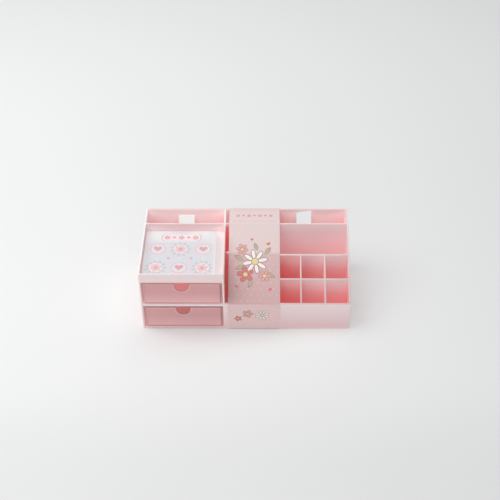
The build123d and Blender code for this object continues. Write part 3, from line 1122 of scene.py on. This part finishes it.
class ORGANIZER_OT_sleeve_print(bpy.types.Operator):
    """Flowers, hearts and dots printed on the sleeve"""

    bl_idname = "organizer.sleeve_print"
    bl_label = "Sleeve print"

    def execute(self, context):
        sizes = context.scene.organizer_sleeve
        path = CardPath()
        shoulder, head, rear = path.folds
        white, coral, rose, straw, leaf, line = (
            ink_finish("ink_" + name, getattr(sizes, name + "_ink"))
            for name in ("white", "coral", "rose", "straw", "leaf", "line")
        )
        sheet = PrintSheet()
        base = 0.008 * MM
        # half-drop dots over the slope
        pitch, side_margin = 8 * MM, 2 * MM
        dots = []
        for row in range(int((head - shoulder) / pitch)):
            for column in range(-4, 5):
                across = (column + 0.5 * (row % 2)) * pitch
                if abs(across) < path.half_width - side_margin:
                    dots.append((across, shoulder + (row + 0.6) * pitch, 0.45 * MM, 0))
        sheet.stamp(outline_disc(10), white, dots, base)
        # spray of leaves and flowers on the slope, then three flowers on the front panel
        slope_middle = (shoulder + head) / 2
        leaves = in_metres(
            slope_middle, (-13, 4, 13, 2.6), (-12, -2, 12, 3.6), (15, -12, 12, -0.5), (13, 12, 12, 0.9),
            (-2, -20, 12, -2.0), (4, 17, 11, 1.9),
        )
        sheet.stamp(outline_leaf(), line, leaves, base, grow=1.05)
        sheet.stamp(outline_leaf(), leaf, leaves, base + 0.012 * MM, offset=0.03, grow=0.92)
        for middle, place, petals, ink, lift, width in (
            (slope_middle, (1, 3, 15, 0.2), 8, white, 0.02, 0.25),
            (slope_middle, (-11, -14, 10, 0.5), 5, coral, 0.03, 0.42),
            (slope_middle, (13, -16, 7.5, 0.1), 6, rose, 0.03, 0.36),
            (slope_middle, (-15, 19, 7, 0.9), 6, rose, 0.03, 0.36),
            (0.56 * shoulder, (10, 0, 8.5, 0.4), 8, white, 0.01, 0.25),
            (0.62 * shoulder, (-8, 0, 6.5, 0), 5, rose, 0.01, 0.42),
            (0.42 * shoulder, (-20, 0, 4.5, 0.7), 5, coral, 0.01, 0.42),
        ):
            sheet.blossom(in_metres(middle, place), petals, ink, line, straw, base + lift * MM, width)
        # hearts on the slope
        sheet.stamp(outline_heart(), coral, in_metres(
            slope_middle, (18, 26, 2.6, 0.3), (-22, -30, 2.2, -0.2), (20, -34, 2.4, 0.1), (-3, 32, 2, 0)
        ), base)
        # garland between two lines on the top flap
        flap_middle, inset = (head + rear) / 2, 5 * MM
        for edge in (head + inset, rear - inset):
            bar = outline_bar(1.7 * path.half_width, 0.5 * MM, 0.2 * MM)
            sheet.stamp(bar, rose, [(0, edge, 1, 0)], base)
        beads = in_metres(flap_middle, *((7 * column, 0, 2.3, 0.3 * column) for column in (-3, -1, 1, 3)))
        sheet.blossom(beads, 5, rose, line, straw, base, 0.42)
        small = in_metres(flap_middle, *((7 * column, 0, 1.6, 0) for column in (-2, 0, 2)))
        sheet.stamp(outline_heart(), coral, small, base)
        # bare field on the back panel
        field = outline_bar(44 * MM, 56 * MM, 5 * MM)
        sheet.stamp(field, white, [(0, (rear + path.length) / 2, 1, 0)], base)
        mesh = sheet.laid("sleeve_print", path.lay)
        finish_piece("sleeve_print", mesh, "sleeve", [], sheet.inks)
        return {"FINISHED"}


def paper_height(sizes, x, y):
    """Height of the backing paper's upper face, which waves a little and lifts at its front corner."""
    across = (x - sheet_low.x) / (sheet_high.x - sheet_low.x)
    along = (y - sheet_low.y) / (sheet_high.y - sheet_low.y)
    ripple = 0.5 + 0.5 * math.sin(TAU * (0.7 * across + 0.35 * along))
    lift = (1 - along) ** 3 * (1 - across) ** 2
    return sheet_low.z + sizes.paper + sizes.wave * (ripple + 1.5 * lift)


class ORGANIZER_OT_sticker_sheet(bpy.types.Operator):
    """Backing paper of the stickers, with a slight wave"""

    bl_idname = "organizer.sticker_sheet"
    bl_label = "Sticker sheet"

    def execute(self, context):
        sizes = context.scene.organizer_stickers
        paper = bmesh.new()
        bmesh.ops.create_grid(paper, x_segments=28, y_segments=26, size=0.5)
        for vert in paper.verts:
            x = sheet_low.x + (vert.co.x + 0.5) * (sheet_high.x - sheet_low.x)
            y = sheet_low.y + (vert.co.y + 0.5) * (sheet_high.y - sheet_low.y)
            vert.co = (x, y, paper_height(sizes, x, y))
        blank = linked_object("sticker_sheet_blank", mesh_from(paper, "sticker_sheet_blank"))
        body = blank.modifiers.new("thickness", "SOLIDIFY")
        body.thickness = sizes.paper
        body.offset = -1
        mesh = evaluated_mesh(blank, "sticker_sheet_paper")
        paper = paper_shade("sticker_backing_paper", sizes.paper_colour, sizes.shade_colour, 26, 0.45)
        finishes = [paper.finish]
        finish_piece("sticker_sheet_paper", mesh, "sticker_sheet", ["sticker_sheet"], finishes)
        return {"FINISHED"}


class ORGANIZER_OT_stickers(bpy.types.Operator):
    """Round stickers and the long label with their printed motifs"""

    bl_idname = "organizer.stickers"
    bl_label = "Stickers"

    def execute(self, context):
        sizes = context.scene.organizer_stickers
        base, blue, pink, pale, line = (
            ink_finish("sticker_" + name, getattr(sizes, name + "_ink"))
            for name in ("base", "blue", "pink", "pale", "line")
        )
        field, lace = ink_finish("sheet_field", sizes.field_ink), ink_finish("sheet_lace", sizes.lace_ink)
        sheet = PrintSheet()
        step = 0.016 * MM
        middle_x = (stickers_low.x + stickers_high.x) / 2
        radius = sizes.dot / 2
        pitch_x = (stickers_high.x - stickers_low.x - sizes.dot) / (sizes.columns - 1)
        label_y = stickers_high.y - sizes.label_depth / 2
        first_y = stickers_low.y + radius
        last_y = stickers_high.y - sizes.label_depth - (sheet_high.y - stickers_high.y) - radius
        pitch_y = (last_y - first_y) / (sizes.rows - 1)
        even, odd = [], []
        for row in range(sizes.rows):
            for column in range(sizes.columns):
                x = middle_x + (column - (sizes.columns - 1) / 2) * pitch_x
                (odd if (row + column) % 2 else even).append((x, first_y + row * pitch_y, radius, 0))
        # field, round stickers with their lace, and the label
        border = 0.42 * sizes.dot
        field_width = (sizes.columns - 1) * pitch_x + sizes.dot + border
        backdrop = outline_bar(field_width, last_y - first_y + sizes.dot + border, border)
        sheet.stamp(backdrop, field, [(middle_x, (first_y + last_y) / 2, 1, 0)], step)
        for places, ground, ruffle in ((even, base, lace), (odd, blue, pale)):
            sheet.stamp(outline_petal(0.4), ruffle, places, 2 * step, copies=11, offset=0.84, grow=0.58)
            sheet.stamp(outline_disc(40), line, places, 3 * step)
            sheet.stamp(outline_disc(40), ground, places, 4 * step, grow=0.95)
        label = outline_bar(sizes.label_width, sizes.label_depth, sizes.label_depth / 3)
        for ink, layer, grow in ((line, 3 * step, 1), (base, 4 * step, 0.97)):
            sheet.stamp(label, ink, [(middle_x, label_y, 1, 0)], layer, grow=grow)
        # flowers and hearts on the stickers
        flowers = [(x, y, 0.72 * size, 0.3) for x, y, size, _ in even]
        sheet.blossom(flowers, 6, pale, line, pink, 5 * step, 0.36)
        hearts = [(x, y, 0.5 * size, 0) for x, y, size, _ in odd]
        sheet.stamp(outline_heart(), line, hearts, 5 * step, grow=1.12)
        sheet.stamp(outline_heart(), pink, hearts, 6 * step)
        # hearts and dots between the rows
        left_x = middle_x - (sizes.columns - 1) * pitch_x / 2
        between = [
            (left_x + place * pitch_x / 2, first_y + (row + 0.5) * pitch_y, 2 * MM, 0)
            for row in range(sizes.rows - 1)
            for place in range(2 * sizes.columns - 1)
        ]
        sheet.stamp(outline_heart(), pink, between[1::2], 2 * step)
        sheet.stamp(outline_disc(12), base, between[::2], 2 * step, grow=0.6)
        # garland on the label
        garland = [(middle_x + column * 9 * MM, label_y, 3.6 * MM, 0.4 * column) for column in range(-2, 3)]
        sheet.blossom(garland[::2], 5, pink, line, pale, 5 * step, 0.42)
        small = [(x, y, 0.7 * size, 0) for x, y, size, _ in garland[1::2]]
        sheet.stamp(outline_heart(), pink, small, 5 * step)
        sheet.cut(4 * MM)
        mesh = sheet.laid(
            "sticker_prints", lambda x, y, layer: Vector((x, y, paper_height(sizes, x, y) + layer))
        )
        finish_piece("sticker_prints", mesh, "sticker_sheet", ["stickers"], sheet.inks)
        return {"FINISHED"}


def floor_finish(sizes):
    """Plain pale floor with painted light: a little darker just in front and a little paler towards the
    back.
    """
    shade = paper_shade("pale_floor", sizes.floor_colour, sizes.floor_colour, 3, 0.85, passed=0)
    # painted light: the floor darkens towards the front and lightens towards the back
    along = shade.ranged(shade.place()[1], -280 * MM, 650 * MM)
    shade.feed(Base_Color=shade.toned(along, (
        (0, sizes.front_floor_colour), (0.16, sizes.floor_colour), (0.41, sizes.floor_colour),
        (1, sizes.back_floor_colour),
    )))
    return shade.finish


class ORGANIZER_OT_stage(bpy.types.Operator):
    """Floor, lamps, fill light and camera"""

    bl_idname = "organizer.stage"
    bl_label = "Stage"

    def execute(self, context):
        scene = context.scene
        sizes = scene.organizer_stage
        reach = 6.0
        corners = [(-reach, -reach, 0), (reach, -reach, 0), (reach, reach, 0), (-reach, reach, 0)]
        floor_mesh = bpy.data.meshes.new("floor")
        floor_mesh.from_pydata(corners, [], [(0, 1, 2, 3)])
        floor_mesh.materials.append(floor_finish(sizes))
        floor = linked_object("floor", floor_mesh)
        scene.world = bpy.data.worlds.new("studio")
        scene.world.use_nodes = True
        light = scene.world.node_tree.nodes["Background"].inputs
        light["Color"].default_value = (1, 1, 1, 1)
        light["Strength"].default_value = sizes.world_light
        aim = Vector((0, 0, 0.05))
        for name in ("key", "top", "front"):
            lamp = bpy.data.lights.new(name + "_lamp", "AREA")
            lamp.energy = getattr(sizes, name + "_power")
            lamp.size = getattr(sizes, name + "_size")
            lamp.cycles.use_multiple_importance_sampling = False
            stand = linked_object(name + "_lamp", lamp)
            stand.location = getattr(sizes, name + "_place")
            stand.rotation_euler = (stand.location - aim).to_track_quat("Z", "Y").to_euler()
        lens = bpy.data.cameras.new("photo_camera")
        lens.lens = sizes.lens
        lens.sensor_width = 36
        lens.sensor_fit = "HORIZONTAL"
        camera = linked_object("photo_camera", lens)
        pitch, yaw, roll = sizes.camera_pitch, sizes.camera_yaw, sizes.camera_roll
        ahead = Vector((math.sin(yaw) * math.cos(pitch), math.cos(yaw) * math.cos(pitch), -math.sin(pitch)))
        right = Vector((math.cos(yaw), -math.sin(yaw), 0))
        up = right.cross(ahead)
        side = right * math.cos(roll) + up * math.sin(roll)
        top = up * math.cos(roll) - right * math.sin(roll)
        turned = Matrix((side, top, -ahead)).transposed().to_4x4()
        camera.matrix_world = Matrix.Translation(sizes.camera_place) @ turned
        scene.camera = camera
        scene.view_settings.view_transform = "Standard"
        return {"FINISHED"}


OPERATORS = (
    ORGANIZER_OT_mouldings,
    ORGANIZER_OT_divider_grid,
    ORGANIZER_OT_drawers,
    ORGANIZER_OT_foot_pads,
    ORGANIZER_OT_rear_cards,
    ORGANIZER_OT_sleeve,
    ORGANIZER_OT_sleeve_print,
    ORGANIZER_OT_sticker_sheet,
    ORGANIZER_OT_stickers,
    ORGANIZER_OT_stage,
)


class ORGANIZER_PT_panel(bpy.types.Panel):
    """Pieces of the organizer in the order they are made"""

    bl_idname = "ORGANIZER_PT_panel"
    bl_label = "Organizer"
    bl_space_type = "VIEW_3D"
    bl_region_type = "UI"
    bl_category = "Organizer"

    def draw(self, context):
        for operator in OPERATORS:
            self.layout.operator(operator.bl_idname)
        for name, group in GROUPS.items():
            box = self.layout.box()
            box.label(text=group.__doc__)
            for prop in group.__annotations__:
                box.prop(getattr(context.scene, name), prop)


def register():
    """Registers the groups, operators and panel."""
    for name, group in GROUPS.items():
        bpy.utils.register_class(group)
        setattr(bpy.types.Scene, name, PointerProperty(type=group))
    for operator in OPERATORS:
        bpy.utils.register_class(operator)
    bpy.utils.register_class(ORGANIZER_PT_panel)


def unregister():
    """Takes the panel, operators and groups away again."""
    bpy.utils.unregister_class(ORGANIZER_PT_panel)
    for operator in reversed(OPERATORS):
        bpy.utils.unregister_class(operator)
    for name, group in reversed(GROUPS.items()):
        delattr(bpy.types.Scene, name)
        bpy.utils.unregister_class(group)


def main():
    """Builds every piece."""
    register()
    bpy.ops.organizer.mouldings()
    bpy.ops.organizer.divider_grid()
    bpy.ops.organizer.drawers()
    bpy.ops.organizer.foot_pads()
    bpy.ops.organizer.rear_cards()
    bpy.ops.organizer.sleeve()
    bpy.ops.organizer.sleeve_print()
    bpy.ops.organizer.sticker_sheet()
    bpy.ops.organizer.stickers()
    bpy.ops.organizer.stage()


if __name__ == "__main__":
    main()
